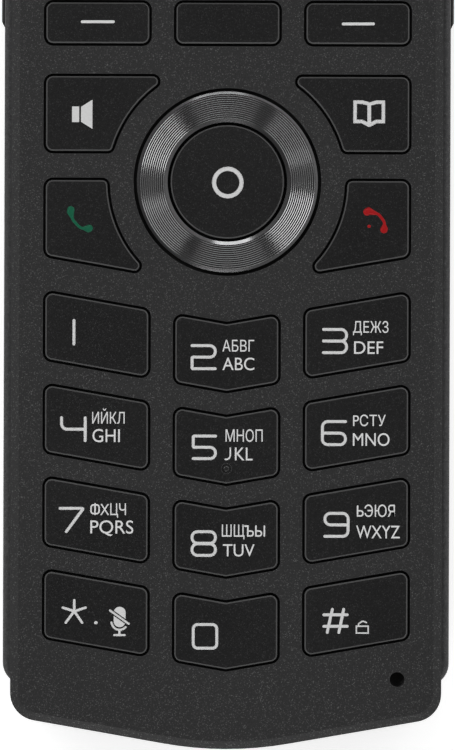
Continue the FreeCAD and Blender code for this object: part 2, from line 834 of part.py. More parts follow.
def make_boards():
    mat = Piece("keypad_mat")
    mat.pad([mat_outline(as_size(0))], mat_low, mat_high)
    domes = Piece("dome_sheet")
    domes.pad([mat_outline(s.seam)], sheet_low, sheet_high)
    domes.pad([circle(x, y, s.dome_radius) for x, y in dome_spots()], sheet_high, dome_high)
    board = Piece("main_board")
    board.pad([plan(board_half, board_end, tip + s.board_from_tip, 0, False)], board_low, board_high)
    board.pocket(screw_circles(s.post_radius + s.port_gap), board_low, board_high)


def make_base_parts():
    mic = Piece("microphone")
    mic_low = board_high + s.play
    mic.pad([mic_circle(s.mic_radius)], mic_low, mic_low + s.mic_height)
    boot = Piece("microphone_boot")
    boot.pad([mic_circle(s.mic_radius + s.mic_boot)], mic_low, plate_low - s.play)
    boot.pocket([mic_circle(s.mic_radius + s.seam)], mic_low, mic_low + s.mic_height + s.seam)
    boot.pocket([mic_circle(s.mic_hole)], mic_low, plate_low)

    speaker = Piece("loudspeaker")
    reach = s.speaker_width / 2
    box = block(s.speaker_across - reach, s.speaker_across + reach,
                speaker_y - s.speaker_length / 2, speaker_y + s.speaker_length / 2)
    floor = s.housing_floor + s.play
    speaker.pad([box], floor, floor + s.speaker_height)
    speaker.fillet(s.speaker_round, upright_at(*box))
    cone = circle(s.speaker_across, speaker_y, s.speaker_length / 2 - s.speaker_round)
    speaker.pocket([cone], floor, floor + s.cone_depth)

    motor = Piece("vibration_motor")
    motor.pad([circle(s.motor_across, motor_y, s.motor_radius)], floor, floor + s.motor_height)

    usb = Piece("usb_socket")
    shell_low = board_low - s.play - s.usb_height
    shell = block(-s.usb_width / 2, s.usb_width / 2, shell_low, board_low - s.play)
    usb_front = tip + s.usb_from_tip
    usb.pad([shell], usb_front, usb_front + s.usb_length, "XZ_Plane")
    mouth = block(-s.usb_width / 2 + s.usb_wall, s.usb_width / 2 - s.usb_wall,
                  shell_low + s.usb_wall, board_low - s.play - s.usb_wall)
    usb.pocket([mouth], usb_front, usb_front + s.usb_length - 2 * s.usb_wall, "XZ_Plane")
    tongue_middle = board_low - s.play - s.usb_height / 2
    tongue = block(-s.usb_width / 4, s.usb_width / 4, tongue_middle - s.usb_wall, tongue_middle)
    usb.pad([tongue], usb_front + s.usb_wall, usb_front + s.usb_length - s.usb_wall, "XZ_Plane")

    antenna = Piece("antenna")
    reach = s.antenna_length / 2
    strip = centred(s.antenna_width, tip + s.antenna_from_tip - reach, tip + s.antenna_from_tip + reach)
    antenna.pad([strip], board_low - s.play - s.antenna_height, board_low - s.play)

    sim = Piece("sim_reader")
    sim.pad([sim_outline(as_size(0))], web_low + s.play, board_low - s.play)
    card = sim_outline(-s.sim_rim)
    sim.pocket([card], web_low + s.play, web_low + s.play + s.sim_card)

    contacts = Piece("battery_contacts")
    outline = centred(s.contact_width, door_low - s.housing_wall + s.play, bay_low - s.play)
    contacts.pad([outline], web_high - s.contact_height + s.play, board_low - s.play)

    switches = Piece("side_switches")
    far = half - s.side_wall - s.side_key_tilt - s.side_key_flange - s.side_key_travel - s.play
    middle = (side_low + side_high) / 2
    pair = []
    for side in (-1, 1):
        pair.append(block(side * (far - s.switch_depth), side * far,
                          middle - s.switch_length / 2, middle + s.switch_length / 2))
    switches.pad(pair, board_low - s.play - s.switch_height, board_low - s.play)

    screws = Piece("base_screws")
    head_low = s.play
    shank_low = head_low + s.screw_head_height - s.play
    screws.pad(screw_circles(s.screw_head), head_low, shank_low)
    screws.pad(screw_circles(s.screw_radius), shank_low, plate_low - s.screw_tip)
    drive = s.screw_head / 2
    cross = []
    for x, y in screw_spots:
        cross.append(block(x - drive, x + drive, y - drive / 4, y + drive / 4))
    screws.pocket(cross, head_low, head_low + s.screw_head_height / 2)


def make_side_key(label, side):
    key = Piece(label)
    flange_out = half - s.side_wall - s.side_key_tilt
    rise = half + s.side_key_rise
    outline = [(flange_out, side_low), (half, side_low), (rise, side_low + s.side_key_taper)]
    outline += [(rise, side_high - s.side_key_taper), (half, side_high), (flange_out, side_high)]
    outline = [(side * x, y) for x, y in outline]
    low, high = side_key_heights(as_size(0))
    key.pad([outline], low, high)
    out = (side * rise).number
    key.chamfer(s.key_edge, lambda edge: on_outer_face(edge.BoundBox, out))
    inner = flange_out - s.side_key_flange
    grow = s.side_key_flange
    flange = block(side * inner, side * flange_out, side_low - grow, side_high + grow)
    low, high = side_key_heights(grow)
    key.pad([flange], low, high)


def on_outer_face(box, out):
    # the two long edges of a side key's outer face
    flat = box.XLength < NEAR and abs(box.XMin - out) < NEAR
    return flat and box.ZLength < NEAR


# ---- the ring and the key in its middle


def make_ring():
    top = face + s.ring_rise
    low = top - s.ring_height
    inner = s.ring_bore + s.ring_bevel_in
    outer = s.ring_outer - s.ring_bevel_out
    profile = [(s.ring_bore, low), (s.ring_outer, low), (s.ring_outer, top - s.ring_bevel_out / 2)]
    profile.append((outer, top))
    count = round(s.groove_count.number)
    pitch = (outer - inner) / count
    for index in range(count):
        middle = outer - pitch * (index + 0.5)
        profile.append((middle + s.groove_width / 2, top))
        profile.append((middle, top - s.groove_depth))
        profile.append((middle - s.groove_width / 2, top))
    profile += [(inner, top), (s.ring_bore, top - s.ring_bevel_in / 2)]
    ring = Piece("nav_ring")
    ring.revolve(profile, ring_y)

    carrier = Piece("nav_carrier")
    flange = circle(0, ring_y, s.ring_well + s.carrier_flange)
    carrier_low = mat_high + s.tilt_room
    carrier.pad([flange], carrier_low, plate_low - s.tilt_room)
    carrier.pad([circle(0, ring_y, s.ring_outer)], plate_low - s.tilt_room, low - s.tilt_room)
    carrier.pocket([circle(0, ring_y, s.ring_bore)], carrier_low, low)

    select = Piece("select_key")
    disc = circle(0, ring_y, s.select_radius)
    select.pad([disc], flange_low, top)
    select.chamfer(s.key_edge, flat_at(top))


# ---- hinge


def make_hinge():
    axis = circle(hinge_y, hinge_z, s.pivot_radius)
    pivot = Piece("hinge_pivot")
    side = s.pivot_square / 2
    square = block(hinge_y - side, hinge_y + side, hinge_z - side, hinge_z + side)
    pivot.pad([square], -knuckle_inner - s.socket_depth + s.play, -knuckle_inner, "YZ_Plane")
    pivot.pad([axis], -knuckle_inner, -knuckle_inner + s.pivot_length, "YZ_Plane")

    outer = s.hinge_bore - s.hinge_fit
    cam = Piece("hinge_cam", on_lid=True)
    cam.pad([circle(0, 0, outer)], -barrel_half, -s.cam_inner, "YZ_Plane")
    bore = circle(0, 0, s.pivot_radius + s.hinge_fit)
    cam.pocket([bore], -barrel_half, -barrel_half + s.pivot_length, "YZ_Plane")

    sleeve = Piece("hinge_sleeve")
    start = knuckle_inner - s.sleeve_reach
    end = knuckle_inner + s.socket_depth - s.play
    sleeve.pad([circle(hinge_y, hinge_z, outer)], start, end, "YZ_Plane")
    hole = circle(hinge_y, hinge_z, outer - s.sleeve_wall)
    sleeve.pocket([hole], start, end, "YZ_Plane")

    flex = Piece("hinge_flex", on_lid=True)
    flex.pad([circle(0, 0, s.flex_radius)], s.flex_inner, barrel_half, "YZ_Plane")
    hollow = circle(0, 0, s.flex_radius - s.flex_wall)
    flex.pocket([hollow], s.flex_inner, barrel_half, "YZ_Plane")

    caps = Piece("hinge_end_caps")
    disc = [circle(hinge_y, hinge_z, outer)]
    start = knuckle_half - s.end_cap + s.play
    caps.pad(disc, start, knuckle_half, "YZ_Plane")
    caps.pad(disc, -knuckle_half, -start, "YZ_Plane")


# ---- the lid, folded shut: its inner face looks down at the keypad

lid_tip = -s.hinge_from_tip
lid_end = -s.barrel_radius - s.hinge_gap
lid_half = half - s.lid_inset
window_half = lid_half - s.window_side
lid_low = s.lid_gap / 2
lid_split = lid_low + s.lid_front
lid_high = lid_low + s.lid_thickness
face_high = lid_low + s.lid_face
window_high = lid_low + s.window_depth
screen_high = window_high + s.play + s.screen_depth
back_floor = lid_high - s.back_window_depth
bumper_x = lid_half - s.bumper_side
bumper_spots = [(side * bumper_x, lid_tip + s.bumper_from_tip) for side in (-1, 1)]


def before_lid_end(box):
    return box.YMin < lid_end.number - NEAR


def window_outline(grow):
    low, high = lid_tip + s.window_low, lid_end - s.window_end
    return centred(2 * (window_half + grow), low - grow, high + grow)


def screen_outline(inset):
    low = lid_tip + s.window_low + s.screen_margin
    high = lid_end - s.window_end - s.screen_margin
    return centred(2 * (window_half - s.screen_side - inset), low + inset, high - inset)


def back_window_outline(grow):
    high = lid_end - s.back_window_end
    low = high - s.back_window_length
    return centred(s.back_window_width + 2 * grow, low - grow, high + grow)


def back_screen_outline(grow):
    middle = lid_end - s.back_screen_from_end
    reach = s.back_screen_height / 2 + grow
    return centred(s.back_screen_width + 2 * grow, middle - reach, middle + reach)


def ear_slot(grow):
    middle = lid_tip + s.ear_from_tip
    reach = s.ear_height / 2 + grow
    return centred(s.ear_width + 2 * grow, middle - reach, middle + reach)


def camera_circle(radius):
    return circle(0, lid_end - s.camera_from_end, radius)


def spot_circles(spots, radius):
    return [circle(x, y, radius) for x, y in spots]


def lid_shell(label, low, high):
    cover = Piece(label, on_lid=True)
    outline = plan(lid_half, lid_end, lid_tip)
    cover.pad([outline], low, high)
    cover.fillet(s.chin_round, upright_at(outline[1], outline[4]))
    cover.fillet(s.tip_round, upright_at(outline[0]))
    return cover


def make_lid_inner_cover():
    cover = lid_shell("lid_inner_cover", lid_low, lid_split)
    cover.chamfer(s.lid_bevel, flat_at(lid_low, before_lid_end))
    inside = plan(lid_half, lid_end - s.lid_wall, lid_tip, s.lid_wall)
    cover.pocket([inside], face_high, lid_split)
    bridge = block(lid_end - s.lid_wall, -s.barrel_radius / 2, lid_low, lid_split)
    cover.pad([bridge], -barrel_half, barrel_half, "YZ_Plane")
    cover.pad([circle(0, 0, s.barrel_radius)], -barrel_half, barrel_half, "YZ_Plane")
    cover.pocket([circle(0, 0, s.hinge_bore)], -barrel_half, barrel_half, "YZ_Plane")
    recess = window_outline(s.seam)
    cover.pocket([recess], lid_low, window_high)
    cover.fillet(s.window_round + s.seam, upright_at(*recess))
    cover.pocket([screen_outline(as_size(0))], window_high, face_high)
    slot = ear_slot(as_size(0))
    cover.pocket([slot], lid_low, face_high)
    cover.fillet(s.ear_height / 2 - s.seam, upright_at(*slot))
    cover.pad(spot_circles(bumper_spots, s.post_radius), face_high, lid_split)
    head_low = lid_low + s.bumper_sunk
    cover.pocket(spot_circles(bumper_spots, s.bumper_radius + s.play), lid_low, head_low)
    cover.pocket(spot_circles(bumper_spots, s.screw_head), head_low, head_low + s.lid_head_height)
    cover.pocket(spot_circles(bumper_spots, s.screw_radius + s.play), head_low, lid_split)


def make_lid_outer_cover():
    low = lid_split + s.play
    cover = lid_shell("lid_outer_cover", low, lid_high)
    cover.fillet(s.lid_round, flat_at(lid_high, before_lid_end))
    inside = plan(lid_half, lid_end - s.lid_wall, lid_tip, s.lid_wall)
    cover.pocket([inside], low, lid_high - s.lid_wall)
    touch = (s.barrel_radius * cos(s.neck_angle), s.barrel_radius * sin(s.neck_angle))
    neck = [(lid_end, low), (-s.barrel_radius / 2, low), touch, (lid_end, lid_high)]
    cover.pad([neck], -barrel_half, barrel_half, "YZ_Plane")
    barrel = circle(0, 0, s.barrel_radius + s.seam)
    cover.pocket([barrel], -barrel_half, barrel_half, "YZ_Plane")
    recess = back_window_outline(s.seam)
    cover.pocket([recess], back_floor, lid_high)
    cover.fillet(s.window_round + s.seam, upright_at(*recess))
    openings = [back_screen_outline(s.port_gap), camera_circle(s.camera_radius + s.port_gap)]
    cover.pocket(openings, lid_high - s.lid_wall, back_floor)
    cover.pad(spot_circles(bumper_spots, s.post_radius), low, lid_high - s.lid_wall)
    cover.pocket(spot_circles(bumper_spots, s.screw_radius + s.play), low, lid_high - s.lid_wall)


def lid_plate(label, outline, low, high, radius=None):
    plate = Piece(label, on_lid=True)
    plate.pad([outline], low, high)
    if radius is not None:
        plate.fillet(radius, upright_at(*outline))
    return plate


def make_lid_parts():
    lid_plate("display_window", window_outline(as_size(0)), lid_low + s.play, window_high, s.window_round)
    lid_plate("display_module", screen_outline(s.port_gap), window_high + s.play, screen_high)
    mesh_low = lid_low + s.mesh_sunk
    mesh_round = s.ear_height / 2 - s.seam - s.play
    lid_plate("earpiece_mesh", ear_slot(-s.play), mesh_low, mesh_low + s.mesh_thickness, mesh_round)
    ear_middle = lid_tip + s.ear_from_tip
    ear_reach = s.earpiece_length / 2
    ear_low = face_high + s.play
    ear_box = centred(s.earpiece_width, ear_middle - ear_reach, ear_middle + ear_reach)
    lid_plate("earpiece", ear_box, ear_low, ear_low + s.earpiece_depth, s.speaker_round)
    board_reach = 2 * (lid_half - s.lid_board_side)
    board = centred(board_reach, lid_tip + s.lid_board_low, lid_end - s.lid_board_end)
    board_floor = screen_high + s.play
    lid_plate("lid_board", board, board_floor, board_floor + s.lid_board_thickness)
    screen_floor = back_floor - s.play - s.back_screen_depth
    lid_plate("outer_display", back_screen_outline(as_size(0)), screen_floor, back_floor - s.play)

    window = lid_plate("outer_window", back_window_outline(as_size(0)), back_floor, lid_high - s.play,
                       s.window_round)
    window.pocket([camera_circle(s.camera_radius + s.play)], back_floor, lid_high)
    ring = Piece("camera_ring", on_lid=True)
    ring.pad([camera_circle(s.camera_radius)], back_floor, lid_high + s.camera_ring_rise)
    ring.chamfer(s.key_edge, flat_at(lid_high + s.camera_ring_rise))
    lens_radius = s.camera_radius - s.camera_ring
    ring.pocket([camera_circle(lens_radius)], back_floor, lid_high + s.camera_ring_rise)
    lens = Piece("camera_lens", on_lid=True)
    lens.pad([camera_circle(lens_radius - s.seam)], back_floor, lid_high)
    camera = Piece("camera_module", on_lid=True)
    camera.pad([camera_circle(s.camera_radius)], back_floor - s.camera_height, back_floor - s.play)

    bumpers = Piece("lid_bumpers", on_lid=True)
    bumper_high = lid_low + s.bumper_sunk - s.play
    bumpers.pad(spot_circles(bumper_spots, s.bumper_radius), lid_low - s.bumper_rise, bumper_high)
    screws = Piece("lid_screws", on_lid=True)
    head_low = lid_low + s.bumper_sunk
    head_high = head_low + s.lid_head_height
    screws.pad(spot_circles(bumper_spots, s.screw_head - s.play), head_low, head_high - s.seam)
    shanks = spot_circles(bumper_spots, s.screw_radius)
    screws.pad(shanks, head_high - s.seam, head_high + s.lid_screw_length)


make_front_cover()
make_rear_housing()
make_battery_and_cover()
make_boards()
make_base_parts()
for name in KEYS:
    make_key(name)
make_ring()
make_side_key("volume_key", -1)
make_side_key("camera_key", 1)
make_hinge()
make_lid_inner_cover()
make_lid_outer_cover()
make_lid_parts()

# ---- check every object, then write one STEP file for each node

doc.recompute()
for item in doc.Objects:
    if any(word in item.State for word in ("Invalid", "Error")):
        raise RuntimeError(f"{item.Label}: {item.State}")
    if item.TypeId == "PartDesign::Pocket" and item.Shape.Volume >= item.BaseFeature.Shape.Volume:
        raise RuntimeError(f"{item.Label} cuts nothing")

os.makedirs("parts", exist_ok=True)
for node in [item for item in doc.Objects if item.TypeId == "PartDesign::Body"]:
    shape = node.Shape
    if shape.isNull() or not shape.isValid():
        raise RuntimeError(f"{node.Label}: the shape is not valid")
    shape.exportStep(f"parts/{node.Label}.step")
    print(f"{node.Label}: {len(shape.Solids)} solid(s), {shape.Volume:.1f} mm3")
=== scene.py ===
import json
import math

import bpy
from mathutils import Matrix, Vector
from mathutils.geometry import interpolate_bezier

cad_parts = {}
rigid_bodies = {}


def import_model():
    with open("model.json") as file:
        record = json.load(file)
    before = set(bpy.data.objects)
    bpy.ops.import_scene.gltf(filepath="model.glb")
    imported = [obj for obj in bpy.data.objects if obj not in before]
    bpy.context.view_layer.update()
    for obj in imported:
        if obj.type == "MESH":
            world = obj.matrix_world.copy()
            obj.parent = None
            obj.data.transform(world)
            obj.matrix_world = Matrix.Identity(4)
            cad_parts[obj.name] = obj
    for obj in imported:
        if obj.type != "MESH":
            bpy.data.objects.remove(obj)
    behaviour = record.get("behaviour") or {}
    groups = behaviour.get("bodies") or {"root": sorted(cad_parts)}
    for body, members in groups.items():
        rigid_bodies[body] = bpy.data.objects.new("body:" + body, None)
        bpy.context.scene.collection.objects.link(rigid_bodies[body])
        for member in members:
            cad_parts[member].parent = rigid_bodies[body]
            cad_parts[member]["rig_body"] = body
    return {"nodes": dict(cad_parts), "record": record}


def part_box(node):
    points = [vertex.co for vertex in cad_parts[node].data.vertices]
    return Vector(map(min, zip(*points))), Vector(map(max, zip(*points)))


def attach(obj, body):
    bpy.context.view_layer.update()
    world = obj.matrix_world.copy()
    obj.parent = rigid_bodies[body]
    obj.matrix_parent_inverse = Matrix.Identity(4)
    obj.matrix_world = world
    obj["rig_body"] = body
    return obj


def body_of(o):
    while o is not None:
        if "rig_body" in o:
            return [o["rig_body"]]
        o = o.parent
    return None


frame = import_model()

mm = 0.001
scene = bpy.context.scene
nodes = frame["nodes"]
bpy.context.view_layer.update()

scene.view_settings.view_transform = "Standard"


def selectOnly(piece):
    bpy.ops.object.select_all(action="DESELECT")
    piece.select_set(True)
    bpy.context.view_layer.objects.active = piece


# shader nodes: each source is either another node's output or a plain value

def feed(tree, source, socket):
    if isinstance(source, bpy.types.NodeSocket):
        tree.links.new(source, socket)
    else:
        socket.default_value = source


def mathNode(tree, operation, *sources):
    node = tree.nodes.new("ShaderNodeMath")
    node.operation = operation
    for place, source in enumerate(sources):
        feed(tree, source, node.inputs[place])
    return node.outputs[0]


def dotNode(tree, one, two):
    node = tree.nodes.new("ShaderNodeVectorMath")
    node.operation = "DOT_PRODUCT"
    feed(tree, one, node.inputs[0])
    feed(tree, two, node.inputs[1])
    return node.outputs["Value"]


def rangeNode(tree, value, start, end, low=0, high=1):
    node = tree.nodes.new("ShaderNodeMapRange")
    feed(tree, value, node.inputs["Value"])
    node.inputs["From Min"].default_value = start
    node.inputs["From Max"].default_value = end
    node.inputs["To Min"].default_value = low
    node.inputs["To Max"].default_value = high
    return node.outputs[0]


def noiseNode(tree, coords, size, detail):
    node = tree.nodes.new("ShaderNodeTexNoise")
    node.inputs["Scale"].default_value = 1 / (size * mm)
    node.inputs["Detail"].default_value = detail
    tree.links.new(coords, node.inputs["Vector"])
    return node.outputs["Fac"]


def mixedPaint(tree, share, under, over):
    mix = tree.nodes.new("ShaderNodeMix")
    mix.data_type = "RGBA"
    tree.links.new(share, mix.inputs["Factor"])
    tree.links.new(under, mix.inputs["A"])
    mix.inputs["B"].default_value = (*over, 1)
    return mix.outputs["Result"]


# camera, floor, lamps and world

viewSet = {  # millimetres, and degrees for the roll
    "lens": 200,
    "sensor": 36,
    "height": 514,
    "across": 0.096,
    "along": -8.8,
    "roll": 0.2,
    "nearest": 10,
}

bpy.ops.object.select_all(action="DESELECT")
bpy.ops.object.camera_add(
    location=(viewSet["across"] * mm, viewSet["along"] * mm, viewSet["height"] * mm),
    rotation=(0, 0, math.radians(viewSet["roll"])),
)
camera = bpy.context.object
camera.data.lens = viewSet["lens"]
camera.data.sensor_width = viewSet["sensor"]
camera.data.clip_start = viewSet["nearest"] * mm
scene.camera = camera

floorSet = {
    "size": 6.0,  # metres
    "cells": 4,
    "gap": 0.05,  # millimetres between the floor and the phone's back
    "white": (0.82, 0.82, 0.82),
    "lift": 0.58,  # added for what sees the floor, but not to the light on the phone
}

bpy.ops.mesh.primitive_grid_add(
    x_subdivisions=floorSet["cells"],
    y_subdivisions=floorSet["cells"],
    size=floorSet["size"],
    location=(0, 0, -floorSet["gap"] * mm),
)
floor = bpy.context.object
floor.name = "floor"
paper = bpy.data.materials.new("whitePaper")
paper.use_nodes = True
tree = paper.node_tree
tree.nodes.clear()
out = tree.nodes.new("ShaderNodeOutputMaterial")
matt = tree.nodes.new("ShaderNodeBsdfDiffuse")
matt.inputs["Color"].default_value = (*floorSet["white"], 1)
glow = tree.nodes.new("ShaderNodeEmission")
both = tree.nodes.new("ShaderNodeAddShader")
rays = tree.nodes.new("ShaderNodeLightPath").outputs
seen = mathNode(tree, "MAXIMUM", rays["Is Camera Ray"], rays["Is Glossy Ray"])
seen = mathNode(tree, "MAXIMUM", seen, rays["Is Transmission Ray"])
lift = mathNode(tree, "MULTIPLY", seen, floorSet["lift"])
tree.links.new(lift, glow.inputs["Strength"])
tree.links.new(matt.outputs[0], both.inputs[0])
tree.links.new(glow.outputs[0], both.inputs[1])
tree.links.new(both.outputs[0], out.inputs["Surface"])
floor.data.materials.append(paper)

worldSet = {
    "horizon": 0.9,
    "zenith": 0.12,
    "fadeFrom": 0.35,  # the horizon's light ends at this height on a unit sphere
    "fadeTo": 0.82,  # and from here up there is only the zenith's
    "lean": 0.7,  # how much brighter one side is
    "leanTurn": 25,  # which side that is, in degrees
}

world = bpy.data.worlds.new("studio")
scene.world = world
world.use_nodes = True
tree = world.node_tree
tree.nodes.clear()
out = tree.nodes.new("ShaderNodeOutputWorld")
sky = tree.nodes.new("ShaderNodeBackground")
way = tree.nodes.new("ShaderNodeTexCoord").outputs["Generated"]
split = tree.nodes.new("ShaderNodeSeparateXYZ")
tree.links.new(way, split.inputs[0])
fade = rangeNode(
    tree,
    split.outputs["Z"],
    worldSet["fadeFrom"],
    worldSet["fadeTo"],
    worldSet["horizon"],
    worldSet["zenith"],
)
leanTurn = math.radians(worldSet["leanTurn"])
lean = worldSet["lean"] * Vector((math.cos(leanTurn), math.sin(leanTurn), 0))
level = mathNode(tree, "MULTIPLY_ADD", dotNode(tree, way, lean), fade, fade)
tree.links.new(level, sky.inputs["Strength"])
tree.links.new(sky.outputs[0], out.inputs["Surface"])

# each lamp: turn and height above the floor in degrees, then metres of distance, width and
# height, then brightness
lampSet = {
    "lampNorth": (95, 38, 1.1, 0.50, 0.15, 6.2),
    "lampNorthHigh": (92, 51, 1.1, 0.60, 0.20, 1.4),
    "lampNorthEast": (38, 51, 1.1, 0.50, 0.20, 2.6),
    "lampNorthWest": (145, 51, 1.1, 0.50, 0.20, 6.6),
    "lampSouthWest": (225, 9, 1.1, 0.30, 0.20, 6.0),
    "lampSouthEast": (315, 9, 1.1, 0.30, 0.20, 3.2),
    "lampWest": (178, 20, 1.1, 0.30, 0.20, 6.0),
    "lampWestHigh": (180, 51, 1.1, 0.45, 0.20, 0.9),
    "lampSouth": (265, 28, 1.1, 0.60, 0.30, 6.0),
}
lampAim = Vector((0, 0, 10 * mm))
for name, (turn, rise, distance, width, height, bright) in lampSet.items():
    turn, rise = math.radians(turn), math.radians(rise)
    way = Vector((math.cos(turn) * math.cos(rise), math.sin(turn) * math.cos(rise), math.sin(rise)))
    bpy.ops.object.light_add(
        type="AREA",
        location=lampAim + distance * way,
        rotation=way.to_track_quat("Z", "Y").to_euler(),
    )
    lamp = bpy.context.object
    lamp.name = name
    lamp.data.shape = "RECTANGLE"
    lamp.data.size = width
    lamp.data.size_y = height
    lamp.data.energy = bright * math.pi * width * height
print("camera, floor and lamps are set")


# finishes

grainSet = {  # what all finishes share; sizes in millimetres, the rest as shares of 1
    "detail": 3,
    "toneFrom": 0.3,
    "toneTo": 0.75,
    "darkShare": 0.5,  # how far speckle darkens, next to how far it lightens
    "markSize": 14,  # slow handling marks
    "markDetail": 4,
    "markFrom": 0.3,
    "markTo": 0.7,
    "fleckSize": 0.09,  # light flecks in the paint
    "fleckFrom": 0.88,
    "edgeHighlightRadius": 0.11,  # painted highlight, the paint made lighter along the edges
    "edgeHighlightSamples": 4,
    "edgeHighlightFrom": 0.995,
    "edgeHighlightTo": 0.9,
    "slopeFrom": 0.985,  # the narrow slope round a key's top, painted lighter as a highlight
    "slopeTo": 0.93,
    "steepFrom": 0.4,
    "steepTo": 0.5,
}


def grainedFinish(
    name,
    colour,
    roughness,
    grain,  # size of the grain
    speckle=0.0,  # how far the grain changes the colour
    bump=0.0,  # depth of the grain
    metallic=0.0,
    level=0.5,
    wear=0.08,  # how far handling changes the roughness
    flakes=0.0,  # how much lighter the flecks are, then the painted highlight along edges, then the painted highlight on a key's slope
    edgeHighlight=0.0,
    line=0.0,
):
    finish = bpy.data.materials.new(name)
    finish.use_nodes = True
    tree = finish.node_tree
    shader = tree.nodes["Principled BSDF"]
    shader.inputs["Metallic"].default_value = metallic
    shader.inputs["Specular IOR Level"].default_value = level
    coords = tree.nodes.new("ShaderNodeTexCoord").outputs
    fine = noiseNode(tree, coords["Object"], grain, grainSet["detail"])
    broad = noiseNode(tree, coords["Object"], grainSet["markSize"], grainSet["markDetail"])
    tone = tree.nodes.new("ShaderNodeValToRGB")
    dark, pale = tone.color_ramp.elements
    dark.position = grainSet["toneFrom"]
    pale.position = grainSet["toneTo"]
    dark.color = (*[c * (1 - speckle * grainSet["darkShare"]) for c in colour], 1)
    pale.color = (*[min(1, c * (1 + speckle)) for c in colour], 1)
    tree.links.new(fine, tone.inputs["Fac"])
    paint = tone.outputs["Color"]
    if flakes:
        cells = tree.nodes.new("ShaderNodeTexVoronoi")
        cells.inputs["Scale"].default_value = 1 / (grainSet["fleckSize"] * mm)
        draw = tree.nodes.new("ShaderNodeSeparateColor")
        tree.links.new(coords["Object"], cells.inputs["Vector"])
        tree.links.new(cells.outputs["Color"], draw.inputs[0])
        pick = rangeNode(tree, draw.outputs[0], grainSet["fleckFrom"], 1)
        paint = mixedPaint(tree, pick, paint, [c + flakes for c in colour])
    # painted highlight: the colour is made lighter along rounded edges, where a shine would catch
    if edgeHighlight:
        rounded = tree.nodes.new("ShaderNodeBevel")
        rounded.samples = grainSet["edgeHighlightSamples"]
        rounded.inputs["Radius"].default_value = grainSet["edgeHighlightRadius"] * mm
        flat = tree.nodes.new("ShaderNodeNewGeometry")
        along = dotNode(tree, rounded.outputs[0], flat.outputs["Normal"])
        corner = rangeNode(tree, along, grainSet["edgeHighlightFrom"], grainSet["edgeHighlightTo"])
        paint = mixedPaint(tree, corner, paint, [c + edgeHighlight for c in colour])
    # painted highlight: the sloped band round a key's top is made lighter in its colour
    if line:
        facing = tree.nodes.new("ShaderNodeSeparateXYZ")
        tree.links.new(coords["Normal"], facing.inputs[0])
        slope = rangeNode(tree, facing.outputs["Z"], grainSet["slopeFrom"], grainSet["slopeTo"])
        steep = rangeNode(tree, facing.outputs["Z"], grainSet["steepFrom"], grainSet["steepTo"])
        slopeHighlight = mathNode(tree, "MULTIPLY", slope, steep)
        paint = mixedPaint(tree, slopeHighlight, paint, [c + line for c in colour])
    tree.links.new(paint, shader.inputs["Base Color"])
    dull, worn = roughness - wear / 2, roughness + wear / 2
    sheen = rangeNode(tree, broad, grainSet["markFrom"], grainSet["markTo"], dull, worn)
    tree.links.new(sheen, shader.inputs["Roughness"])
    if bump:
        relief = tree.nodes.new("ShaderNodeBump")
        relief.inputs["Strength"].default_value = 1
        relief.inputs["Distance"].default_value = bump * mm
        tree.links.new(fine, relief.inputs["Height"])
        tree.links.new(relief.outputs["Normal"], shader.inputs["Normal"])
    return finish


finishSet = {
    "cover": dict(
        colour=(0.0205, 0.0205, 0.0209),
        roughness=0.55,
        grain=0.2,
        speckle=0.4,
        bump=0.004,
        level=0.3,
        flakes=0.09,
        # painted highlight along the edges
        edgeHighlight=0.03,
    ),
    "housing": dict(
        colour=(0.04, 0.04, 0.041),
        roughness=0.6,
        grain=0.32,
        speckle=0.5,
        bump=0.03,
        level=0.3,
        # painted highlight along the edges
        flakes=0.06,
        edgeHighlight=0.03,
    ),
    "key": dict(
        colour=(0.01, 0.01, 0.0102),
        roughness=0.42,
        grain=0.16,
        speckle=0.7,
        bump=0.002,
        level=0.25,
        flakes=0.035,
        # painted highlight on the slope round the key's top
        line=0.07,
    ),
    "ring_metal": dict(
        colour=(0.138, 0.138, 0.14), roughness=0.15, grain=0.3, speckle=0.1, metallic=1.0, wear=0.04
    ),
    "steel": dict(
        colour=(0.55, 0.55, 0.56), roughness=0.32, grain=0.4, speckle=0.1, bump=0.002, metallic=1.0
    ),
    "spring_steel": dict(
        colour=(0.62, 0.62, 0.61), roughness=0.26, grain=0.4, speckle=0.1, metallic=1.0
    ),
    "battery_can": dict(
        colour=(0.5, 0.5, 0.52), roughness=0.38, grain=0.5, speckle=0.12, bump=0.002, metallic=0.9
    ),
    "board": dict(colour=(0.012, 0.1, 0.04), roughness=0.35, grain=0.6, speckle=0.25, bump=0.004),
    "flex": dict(colour=(0.42, 0.2, 0.03), roughness=0.3, grain=0.6, speckle=0.15, bump=0.002),
    "sound_hole": dict(
        colour=(0.08, 0.08, 0.08), roughness=0.8, grain=0.3, speckle=0.3, level=0.1
    ),
    "black_plastic": dict(
        colour=(0.015, 0.015, 0.015), roughness=0.5, grain=0.25, speckle=0.2, bump=0.006, level=0.35
    ),
    "pip_gloss": dict(
        colour=(0.02, 0.02, 0.02), roughness=0.1, grain=0.1, speckle=0.2, wear=0.02
    ),
    "rubber": dict(
        colour=(0.03, 0.03, 0.031), roughness=0.75, grain=0.3, speckle=0.2, bump=0.01, level=0.25
    ),
    "screen": dict(colour=(0.1, 0.11, 0.125), roughness=0.2, grain=0.2, speckle=0.06),
    "legendWhite": dict(
        colour=(0.71, 0.71, 0.71), roughness=0.5, grain=0.2, speckle=0.06, level=0.3
    ),
    "letterWhite": dict(
        colour=(0.78, 0.78, 0.78), roughness=0.5, grain=0.2, speckle=0.06, level=0.3
    ),
    "legendGreen": dict(
        colour=(0.001, 0.105, 0.05), roughness=0.5, grain=0.2, speckle=0.1, level=0.3
    ),
    "legendRed": dict(
        colour=(0.36, 0.002, 0.004), roughness=0.5, grain=0.2, speckle=0.1, level=0.3
    ),
}
